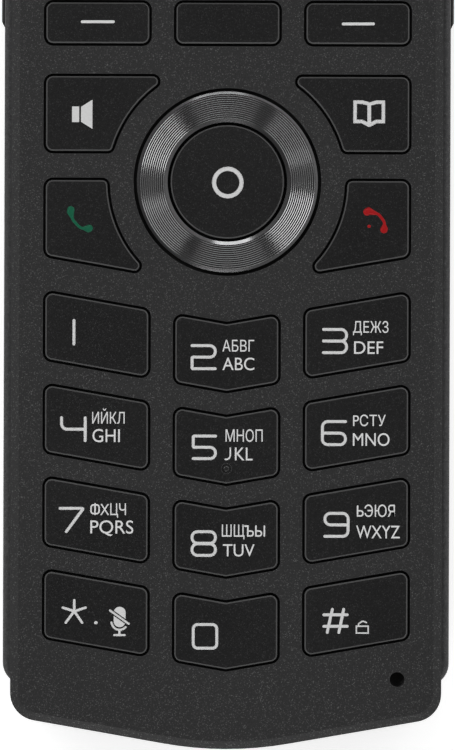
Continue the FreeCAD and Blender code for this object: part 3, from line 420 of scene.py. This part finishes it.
finishes = {name: grainedFinish(name, **values) for name, values in finishSet.items()}

lensSet = {
    "tint": (0.09, 0.09, 0.12),
    "roughness": 0.02,
    "grain": 0.8,
    "speckle": 0.05,
    "wear": 0.02,
    "clear": 0.75,
    "bend": 1.49,
}


def tintedGlass(name):
    finish = grainedFinish(
        name,
        lensSet["tint"],
        lensSet["roughness"],
        lensSet["grain"],
        speckle=lensSet["speckle"],
        wear=lensSet["wear"],
    )
    shader = finish.node_tree.nodes["Principled BSDF"]
    shader.inputs["Transmission Weight"].default_value = lensSet["clear"]
    shader.inputs["IOR"].default_value = lensSet["bend"]
    return finish


finishes["lens"] = tintedGlass("lens")

glassSet = {
    "black": (0.004, 0.004, 0.0045),
    "field": (0.022, 0.026, 0.032),
    "roughness": 0.06,
    "grain": 0.8,
    "speckle": 0.05,
    "level": 0.6,
    "wear": 0.04,
    "rise": 20,  # slope of the open lid, degrees
    "deep": {"display_module": 2.4, "outer_display": 1.5},  # thickness of each screen
    "margin": 0.6,  # edge of the screen that shows no picture
}


def screenGlass(name, screen):  # black window that shows the screen behind it as a paler field
    finish = grainedFinish(
        name,
        glassSet["black"],
        glassSet["roughness"],
        glassSet["grain"],
        speckle=glassSet["speckle"],
        level=glassSet["level"],
        wear=glassSet["wear"],
    )
    tree = finish.node_tree
    low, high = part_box(screen)
    rise = math.radians(glassSet["rise"])
    up = Vector((0, math.cos(rise), math.sin(rise)))
    deep, margin = glassSet["deep"][screen] * mm, glassSet["margin"] * mm
    halfWide = (high.x - low.x) / 2 - margin
    halfLong = ((high.y - low.y - deep * up.z) / up.y) / 2 - margin
    spot = tree.nodes.new("ShaderNodeTexCoord").outputs["Object"]
    across = mathNode(tree, "COMPARE", dotNode(tree, spot, Vector((1, 0, 0))), 0, halfWide)
    middle = up.dot((low + high) / 2)
    along = mathNode(tree, "COMPARE", dotNode(tree, spot, up), middle, halfLong)
    field = mathNode(tree, "MULTIPLY", across, along)
    base = tree.nodes["Principled BSDF"].inputs["Base Color"]
    paint = base.links[0].from_socket
    tree.links.new(mixedPaint(tree, field, paint, glassSet["field"]), base)
    return finish


finishes["display_glass"] = screenGlass("display_glass", "display_module")
finishes["outer_glass"] = screenGlass("outer_glass", "outer_display")

nodeFinish = {  # pieces whose finish is not their slot's own
    "microphone": "sound_hole",
    "microphone_boot": "sound_hole",
    "display_window": "display_glass",
    "outer_window": "outer_glass",
}
for part in frame["record"]["subparts"]:
    slots = nodes[part["node"]].data.materials
    slots.clear()
    slots.append(finishes[nodeFinish.get(part["node"], part["material_slot"])])
print("finishes are on the moulded and metal parts")


# key markings, in millimetres from the middle of each key

markSet = {
    "stroke": 0.36,
    "thinStroke": 0.19,  # of the letters that are drawn as strokes
    "relief": 0.018,  # how far a marking stands out
    "tip": 4,  # corners on each side of a stroke's round tip
    "arcStep": 0.26,  # radians between the corners of a bend
    "smooth": 60,  # degrees up to which faces are shaded as one
    "capShare": 0.69,  # height of a capital in the built-in type
    "curveCorners": 6,  # corners on a curved piece of a letter
    "straight": 1e-4,  # how little a straight piece of a letter bows
    "weld": 1e-6,  # metres
    "touch": 1e-8,  # metres
}


# a corner is x and y, then the radius of its bend and its share of the stroke's thickness,
# which are 0 and 1 where they aren't given
def strokeSpots(corners, closed, width):
    spots = []
    count = len(corners)
    for place, corner in enumerate(corners):
        x, y, bend, thick = (*corner, *(0, 1)[len(corner) - 2:])
        here = Vector((x, y))
        if not closed and place in (0, count - 1):
            spots.append((here, thick))
            continue
        back = (Vector(corners[place - 1][:2]) - here).normalized()
        on = (Vector(corners[(place + 1) % count][:2]) - here).normalized()
        turn = math.pi - back.angle(on)
        if not bend:
            spots.append((here, thick / math.cos(turn / 2)))
            continue
        middle = here + (back + on).normalized() * bend / math.cos(turn / 2)
        arm = here + back * bend * math.tan(turn / 2) - middle
        side = 1 if on.x * back.y - on.y * back.x > 0 else -1
        steps = max(2, round(turn / markSet["arcStep"]))
        for step in range(steps + 1):
            spots.append((middle + Matrix.Rotation(side * turn * step / steps, 2) @ arm, thick))
    if closed:
        return spots
    ends = []
    turns = [math.pi / 2 * step / markSet["tip"] for step in range(markSet["tip"], 0, -1)]
    for (tip, thick), (inner, _) in ((spots[0], spots[1]), (spots[-1], spots[-2])):
        reach = (tip - inner).normalized() * width / 2 * thick
        ends.append([(tip + reach * math.sin(a), thick * math.cos(a)) for a in turns])
    return ends[0] + spots + ends[1][::-1]


def mergeSkins():  # strokes that cross become one skin
    bpy.ops.object.mode_set(mode="EDIT")
    bpy.ops.mesh.select_all(action="SELECT")
    bpy.ops.mesh.remove_doubles(threshold=markSet["weld"])
    bpy.ops.mesh.normals_make_consistent(inside=False)
    bpy.ops.mesh.intersect_boolean(
        operation="UNION", use_self=True, solver="EXACT", threshold=markSet["touch"]
    )
    bpy.ops.object.mode_set(mode="OBJECT")


def shadeSmooth():
    bpy.ops.object.shade_smooth_by_angle(angle=math.radians(markSet["smooth"]))


def finishMark(piece, name, node, finish):  # the marking rides on its key
    piece.name = name
    piece.data.name = name
    piece.data.materials.clear()
    piece.data.materials.append(finishes[finish])
    bpy.ops.object.transform_apply(location=True, rotation=True, scale=True)
    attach(piece, body_of(nodes[node])[0])
    return piece


keyMiddles = {  # where each key's marking is measured from
    "soft_key_left": (-15.7, 33.65),
    "soft_key_right": (15.7, 33.65),
    "speaker_key": (-13.53, 22.7),
    "contacts_key": (13.53, 22.7),
    "call_key": (-14.865, 8.86),
    "end_key": (14.865, 8.86),
    "select_key": (0, 14.5),
}
numberRows = (
    ("key_1", "key_2", "key_3"),
    ("key_4", "key_5", "key_6"),
    ("key_7", "key_8", "key_9"),
    ("key_star", "key_0", "key_hash"),
)
rowSet = {"first": -3.96, "down": 11.2, "across": 15.7, "middleDrop": 2.155}
for row, line in enumerate(numberRows):
    for column, node in enumerate(line):
        drop = rowSet["middleDrop"] if column == 1 else 0
        spot = (rowSet["across"] * (column - 1), rowSet["first"] - rowSet["down"] * row - drop)
        keyMiddles[node] = spot


def keyMiddle(node):
    x, y = keyMiddles[node]
    # the 5 key's own pip stands above its face, so the 2 key's face gives its height
    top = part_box("key_2" if node == "key_5" else node)[1].z
    return Vector((x * mm, y * mm, top))


# each stroke is a list of corners, and whether it is closed
def drawStrokes(name, node, strokes, width=markSet["stroke"], finish="legendWhite"):
    line = bpy.data.curves.new(name, "CURVE")
    line.dimensions = "3D"
    line.twist_mode = "Z_UP"
    line.bevel_depth = width / 2 * mm
    line.bevel_resolution = 1
    for corners, closed in strokes:
        spots = strokeSpots(corners, closed, width)
        run = line.splines.new("POLY")
        run.points.add(len(spots) - 1)
        for point, (spot, thick) in zip(run.points, spots):
            point.co = (spot.x * mm, spot.y * mm, 0, 1)
            point.radius = max(thick, 0)
        run.use_cyclic_u = closed
    piece = bpy.data.objects.new(name, line)
    scene.collection.objects.link(piece)
    selectOnly(piece)
    bpy.ops.object.convert(target="MESH")
    piece = bpy.context.object
    mergeSkins()
    piece.scale = (1, 1, markSet["relief"] / (width / 2))
    piece.location = keyMiddle(node)
    shadeSmooth()
    return finishMark(piece, name, node, finish)


def opened(*strokes):
    return [(corners, False) for corners in strokes]


def flatPiece(name, outlines):  # an outline inside another is a hole
    shape = bpy.data.curves.new(name, "CURVE")
    shape.dimensions = "2D"
    shape.fill_mode = "BOTH"
    shape.extrude = markSet["relief"] * mm
    for corners in outlines:
        run = shape.splines.new("POLY")
        run.points.add(len(corners) - 1)
        for point, (x, y) in zip(run.points, corners):
            point.co = (x * mm, y * mm, 0, 1)
        run.use_cyclic_u = True
    piece = bpy.data.objects.new(name, shape)
    scene.collection.objects.link(piece)
    selectOnly(piece)
    bpy.ops.object.convert(target="MESH")
    return bpy.context.object


def printShape(name, node, outlines):
    piece = flatPiece(name, outlines)
    piece.location = keyMiddle(node)
    return finishMark(piece, name, node, "legendWhite")


def letterOutlines(word, height):
    bpy.ops.object.select_all(action="DESELECT")
    bpy.ops.object.text_add()
    bpy.context.object.data.body = word
    bpy.context.object.data.size = height / markSet["capShare"]
    bpy.ops.object.convert(target="CURVE")
    letters = bpy.context.object
    outlines = []
    for run in letters.data.splines:
        knots = list(run.bezier_points)
        corners = []
        for one, two in zip(knots, knots[1:] + knots[:1]):
            handles = (one.co, one.handle_right, two.handle_left, two.co)
            bend = interpolate_bezier(*handles, markSet["curveCorners"])
            bow = (bend[2] - one.co).cross(two.co - one.co).length
            straight = bow < markSet["straight"]
            corners += [(spot.x, spot.y) for spot in (bend[:1] if straight else bend[:-1])]
        outlines.append(corners)
    bpy.ops.object.delete()
    return outlines


def turnOf(corners):  # its sign says which way round the outline runs
    return sum(a[0] * b[1] - b[0] * a[1] for a, b in zip(corners, corners[1:] + corners[:1]))


def liesIn(inner, outer):
    for inside, outside in zip(zip(*inner), zip(*outer)):  # first across, then along
        if min(inside) <= min(outside) or max(inside) >= max(outside):
            return False
    return True


def printWord(name, node, word, left, low, width, height):
    outlines = letterOutlines(word, height)
    across = [x for corners in outlines for x, _ in corners]
    start, squeeze = min(across), width / (max(across) - min(across))
    outlines = [
        [((x - start) * squeeze + left, y + low) for x, y in corners] for corners in outlines
    ]
    skins, holes = [], []
    for outer in outlines:  # a hole lies in its letter and runs the other way
        for inner in outlines:
            if liesIn(inner, outer) and turnOf(inner) * turnOf(outer) < 0:
                holes.append(inner)
    for outer in outlines:
        if outer not in holes:
            skins.append(flatPiece(name, [outer] + [hole for hole in holes if liesIn(hole, outer)]))
    bpy.ops.object.select_all(action="DESELECT")
    for skin in skins:
        skin.select_set(True)
    bpy.ops.object.join()
    piece = bpy.context.object
    mergeSkins()
    piece.location = keyMiddle(node)
    return finishMark(piece, name, node, "letterWhite")


# digits are drawn in a square, then stretched to each key's width and height
far = 2.77  # side of that square, between the middles of a digit's outer strokes
mid = 0.5 * far
turn = 0.24 * far  # radius of the wide corners
sharp = 0.12  # and of the tight ones
digitStrokes = {
    "1": [[(0, 0), (0, far)]],
    "2": [[(0, far), (far, far, turn), (far, mid, turn), (0, mid, sharp), (0, 0, sharp), (far, 0)]],
    "3": [
        [(0, far), (far, far, turn), (far, mid, turn), (0.7 * far, mid)],
        [(0, mid), (far, mid, turn), (far, 0, turn), (0, 0)],
    ],
    "4": [[(0, far), (0, mid, turn), (far, mid)], [(far, far), (far, 0)]],
    "5": [[(far, far), (0, far, sharp), (0, mid, sharp), (far, mid, turn), (far, 0, turn), (0, 0)]],
    "6": [[(far, far), (0, far, turn), (0, 0, turn), (far, 0, turn), (far, mid, turn), (0, mid)]],
    "7": [[(0, far), (far, far, 0.08), (0.27 * far, 0)]],
    "8": [
        [(0, mid + 0.03, turn), (0, far, turn), (far, far, turn), (far, mid + 0.03, turn)],
        [(0, 0, turn), (0, mid - 0.03, turn), (far, mid - 0.03, turn), (far, 0, turn)],
    ],
    "9": [[(0, 0), (far, 0, turn), (far, far, turn), (0, far, turn), (0, mid, turn), (far, mid)]],
    "0": [[(0, 0, 0.52), (0, far, 0.52), (far, far, 0.52), (far, 0, 0.52)]],
}
closedDigits = "80"
# each number key: its digit's left and low edges, width and height, then the same four for
# each word; the P and the X that open two of the Cyrillic words are the Latin letters, whose
# outlines don't cross themselves
numberSet = {
    "key_1": (-2.93, -1.34, 0.385, 3.2, {}),
    "key_2": (-4.37, -2.11, 3.16, 3.14, {
        "АБВГ": (-0.53, 0.15, 3.83, 1.34),
        "ABC": (-0.52, -2.09, 3.85, 1.51),
    }),
    "key_3": (-4.21, -2.28, 3.14, 3.16, {
        "ДЕЖЗ": (-0.48, 0.32, 4.28, 1.33),
        "DEF": (-0.34, -2.23, 3.51, 1.52),
    }),
    "key_4": (-4.39, -1.80, 3.22, 3.11, {
        "ИЙКЛ": (-0.52, 0.44, 3.92, 1.35),
        "GHI": (-0.47, -1.78, 3.30, 1.57),
    }),
    "key_5": (-4.19, -1.76, 3.05, 3.08, {
        "МНОП": (-0.11, 0.48, 4.47, 1.40),
        "KL": (1.02, -1.78, 2.14, 1.56),
    }),
    "key_6": (-4.31, -2.18, 3.14, 3.15, {
        "PСТУ": (-0.43, 0.26, 3.93, 1.29),
        "MNO": (-0.45, -2.12, 4.42, 1.53),
    }),
    "key_7": (-4.52, -1.57, 3.17, 3.15, {
        "XЦЧ": (0.5, 0.61, 3.1, 1.35),
        "PQRS": (-0.69, -1.61, 5.18, 1.58),
    }),
    "key_8": (-4.30, -2.24, 3.19, 3.22, {
        "ШЩ": (-0.52, 0.21, 2.73, 1.39),
        "TUV": (-0.38, -2.16, 3.81, 1.47),
    }),
    "key_9": (-3.97, -2.04, 3.16, 3.13, {
        "ЭЮЯ": (0.98, 0.51, 3.67, 1.39),
        "WXYZ": (-0.01, -2.08, 5.26, 1.54),
    }),
    "key_0": (-4.11, -2.24, 3.20, 3.22, {}),
}
halfStroke = markSet["stroke"] / 2
for node, (left, low, width, height, words) in numberSet.items():
    digit = node[-1]
    wide, tall = (width - 2 * halfStroke) / far, (height - 2 * halfStroke) / far
    strokes = []
    for line in digitStrokes[digit]:
        corners = []
        for x, y, *bend in line:
            corners.append((x * wide + left + halfStroke, y * tall + low + halfStroke, *bend))
        strokes.append((corners, digit in closedDigits))
    drawStrokes("digit_" + digit, node, strokes)
    for place, (word, box) in enumerate(words.items()):
        printWord("letters_" + digit + "ab"[place], node, word, *box)

# letters whose outline in the built-in type crosses itself, and one that it sets too low
strokeLetters = {
    "letter_F": ("key_7", [
        ([(-0.62, 1.29, 0.3), (-0.62, 1.83, 0.3), (0.36, 1.83, 0.3), (0.36, 0.78, 0.3),
          (-0.62, 0.78, 0.3)], True),
        ([(-0.13, 0.7), (-0.13, 1.96)], False),
    ]),
    "letter_J": ("key_5", opened([(0.47, -0.31), (0.47, -1.7, 0.5), (-0.14, -1.66)])),
    "hard_sign": ("key_8", opened(
        [(2.25, 1.5), (2.61, 1.5), (2.61, 0.31), (3.26, 0.31, 0.28), (3.26, 0.9, 0.28), (2.61, 0.9)]
    )),
    "letter_Y": ("key_8", opened(
        [(3.59, 1.5), (3.59, 0.31), (4.26, 0.31, 0.28), (4.26, 0.9, 0.28), (3.59, 0.9)],
        [(4.61, 1.5), (4.61, 0.31)],
    )),
    "soft_sign": ("key_9", opened(
        [(0.15, 1.8), (0.15, 0.61), (0.79, 0.61, 0.28), (0.79, 1.24, 0.28), (0.15, 1.24)]
    )),
}
for name, (node, strokes) in strokeLetters.items():
    drawStrokes(name, node, strokes, markSet["thinStroke"], "letterWhite")
print("numbers and letters are printed")


def arcSpots(x, y, radius, start, end, steps):  # from one angle to another, in degrees
    turns = [math.radians(start + (end - start) * step / steps) for step in range(steps + 1)]
    return [(x + radius * math.cos(a), y + radius * math.sin(a)) for a in turns]


dashes = {
    "dash_left": ("soft_key_left", [(-1.88, 0.12), (1.87, 0.13)]),
    "dash_right": ("soft_key_right", [(-1.79, -0.04), (1.85, -0.02)]),
}
for name, (node, corners) in dashes.items():
    drawStrokes(name, node, opened(corners), finish="letterWhite")

speakerSet = {
    "box": [(-5.24, -1.05), (-4.38, -1.05), (-4.38, 0.84), (-5.24, 0.84)],
    "horn": [(-4.16, -1.01), (-2.78, -1.86), (-2.78, 1.66), (-4.16, 0.80)],
}
printShape("speaker_sign", "speaker_key", [speakerSet["box"], speakerSet["horn"]])

bookSet = {
    "stroke": 0.44,
    "spine": 3.56,
    "spineTop": 1.2,
    "spineFoot": -1.25,
    "top": 1.25,  # where the pages meet the spine
    "foot": -1.3,
    "high": 1.48,
    "low": -0.85,
    "pages": ((1.85, 2.7), (5.26, 4.42)),  # outer edge of each, and where its curve starts
}
spineX, high, low = bookSet["spine"], bookSet["high"], bookSet["low"]
bookStrokes = [[(spineX, bookSet["spineTop"]), (spineX, bookSet["spineFoot"])]]
for outer, bow in bookSet["pages"]:
    page = [(spineX, bookSet["top"]), (bow, high), (outer, high), (outer, low), (bow, low)]
    bookStrokes.append(page + [(spineX, bookSet["foot"])])
drawStrokes("book_sign", "contacts_key", opened(*bookStrokes), bookSet["stroke"])

handsetSet = {
    "stroke": 0.4,
    "call": [
        (-4.01, 2.2, 0, 2.3),
        (-4.05, 1.9, 0, 2.2),
        (-3.75, 0.95, 1.2, 0.95),
        (-2.87, 0.03, 0.8, 0.9),
        (-2.0, -0.1, 0, 2.1),
        (-1.8, -0.02, 0, 2.3),
    ],
    "end": [
        (2.0, 2.08, 0, 2.3),
        (2.25, 2.2, 0, 2.2),
        (3.4, 1.8, 0.8, 0.9),
        (4.1, 0.9, 0.8, 0.9),
        (4.1, 0.1, 0, 2.2),
        (4.05, -0.05, 0, 2.3),
    ],
    "endDot": [(2.25, 0.34), (2.27, 0.34)],
}
callStrokes = opened(handsetSet["call"])
drawStrokes("call_sign", "call_key", callStrokes, handsetSet["stroke"], "legendGreen")
endStrokes = opened(handsetSet["end"], handsetSet["endDot"])
drawStrokes("end_sign", "end_key", endStrokes, handsetSet["stroke"], "legendRed")

selectSet = {"x": 0.05, "y": -0.08, "radius": 1.66, "corners": 24, "stroke": 0.52}
steps = selectSet["corners"] - 1
lastTurn = 360 * steps / selectSet["corners"]
circle = arcSpots(selectSet["x"], selectSet["y"], selectSet["radius"], 0, lastTurn, steps)
drawStrokes("select_mark", "select_key", [(circle, True)], selectSet["stroke"])

starSet = {
    "stroke": 0.31,
    "middle": (-2.6, 0.2),
    "tips": ((-2.6, 1.52), (-3.98, 0.62), (-1.24, 0.63), (-3.61, -1.18), (-1.65, -1.17)),
    "dot": [(0.0, -1.18), (0.03, -1.18)],
    "dotStroke": 0.41,
}
arms = [[starSet["middle"], tip] for tip in starSet["tips"]]
drawStrokes("star_sign", "key_star", opened(*arms), starSet["stroke"])
drawStrokes("star_dot", "key_star", opened(starSet["dot"]), starSet["dotStroke"])

# crossed-out microphone, whose capsule the line cuts in two
muteSet = {
    "x": 2.88,
    "high": 0.03,  # middle of the capsule's round top
    "low": -0.99,  # and of its round foot
    "radius": 0.72,
    "topArc": (160.4, 0),  # degrees
    "topEnd": (3.6, -0.71),
    "lowStart": (2.16, -0.34),
    "lowArc": (-25.6, -180),
    "corners": 12,
    "stroke": 0.26,
    "line": [(1.72, 0.29), (3.98, -1.3)],
    "cup": (2.88, -1.05, 0.98, 186, 318),
    "stem": [(2.86, -2.05), (2.86, -2.6)],
    "foot": [(2.24, -2.67), (3.48, -2.67)],
}
x, radius, steps = muteSet["x"], muteSet["radius"], muteSet["corners"]
topArc = arcSpots(x, muteSet["high"], radius, *muteSet["topArc"], steps)
lowArc = arcSpots(x, muteSet["low"], radius, *muteSet["lowArc"], steps)
above, below = [*topArc, muteSet["topEnd"]], [muteSet["lowStart"], *lowArc]
printShape("mute_capsule", "key_star", [above, below])
cup = arcSpots(*muteSet["cup"], steps)
muteStrokes = opened(muteSet["line"], cup, muteSet["stem"], muteSet["foot"])
drawStrokes("mute_sign", "key_star", muteStrokes, muteSet["stroke"])

hashStrokes = opened(
    [(-2.86, 0.52), (-3.46, -2.25)],
    [(-1.49, 0.53), (-2.06, -2.24)],
    [(-3.87, -0.14), (-1.07, -0.12)],
    [(-3.86, -1.53), (-1.06, -1.51)],
)
drawStrokes("hash_sign", "key_hash", hashStrokes)

unlockSet = {
    "stroke": 0.18,
    "body": [(0.05, -2.32), (0.05, -1.49), (1.48, -1.49), (1.48, -2.32)],
    "bow": [(0.3, -1.5), (0.3, -1.2, 0.3), (0.84, -0.85, 0.3), (1.25, -1.05)],
}
unlockStrokes = [(unlockSet["body"], True), (unlockSet["bow"], False)]
drawStrokes("unlock_sign", "key_hash", unlockStrokes, unlockSet["stroke"])
print("signs are printed")


pipSet = {  # raised dot that the finger finds
    "drop": 2.785,
    "radius": 0.36,
    "rise": 0.135,
    "foot": 0.02,  # how far it is sunk into the key
    "ring": 0.62,
    "ringWire": 0.035,
    "ringFlat": 0.6,  # the ring's height as a share of its width
}

pipSpot = keyMiddle("key_5") + Vector((0, -pipSet["drop"] * mm, 0))
bpy.ops.object.select_all(action="DESELECT")
bpy.ops.mesh.primitive_uv_sphere_add(
    segments=32, ring_count=23, radius=pipSet["radius"] * mm, location=pipSpot
)
dot = bpy.context.object
dot.scale = (1, 1, pipSet["rise"] / pipSet["radius"])
bpy.ops.object.transform_apply(location=False, rotation=False, scale=True)
bpy.ops.object.mode_set(mode="EDIT")
bpy.ops.mesh.select_all(action="SELECT")
footSpot = pipSpot - Vector((0, 0, pipSet["foot"] * mm))
bpy.ops.mesh.bisect(
    plane_co=footSpot,
    plane_no=(0, 0, 1),
    use_fill=True,
    clear_inner=True,
    threshold=markSet["touch"],
)
bpy.ops.object.mode_set(mode="OBJECT")
shadeSmooth()
finishMark(dot, "pip_dot", "key_5", "pip_gloss")

# ring round the pip's dish; the key finish paints its slopes lighter, a painted highlight
bpy.ops.object.select_all(action="DESELECT")
bpy.ops.mesh.primitive_torus_add(
    major_segments=40,
    minor_segments=8,
    major_radius=pipSet["ring"] * mm,
    minor_radius=pipSet["ringWire"] * mm,
    location=pipSpot,
)
rim = bpy.context.object
rim.scale = (1, 1, pipSet["ringFlat"])
shadeSmooth()
finishMark(rim, "pip_rim", "key_5", "key")
print("pip is on the 5 key")
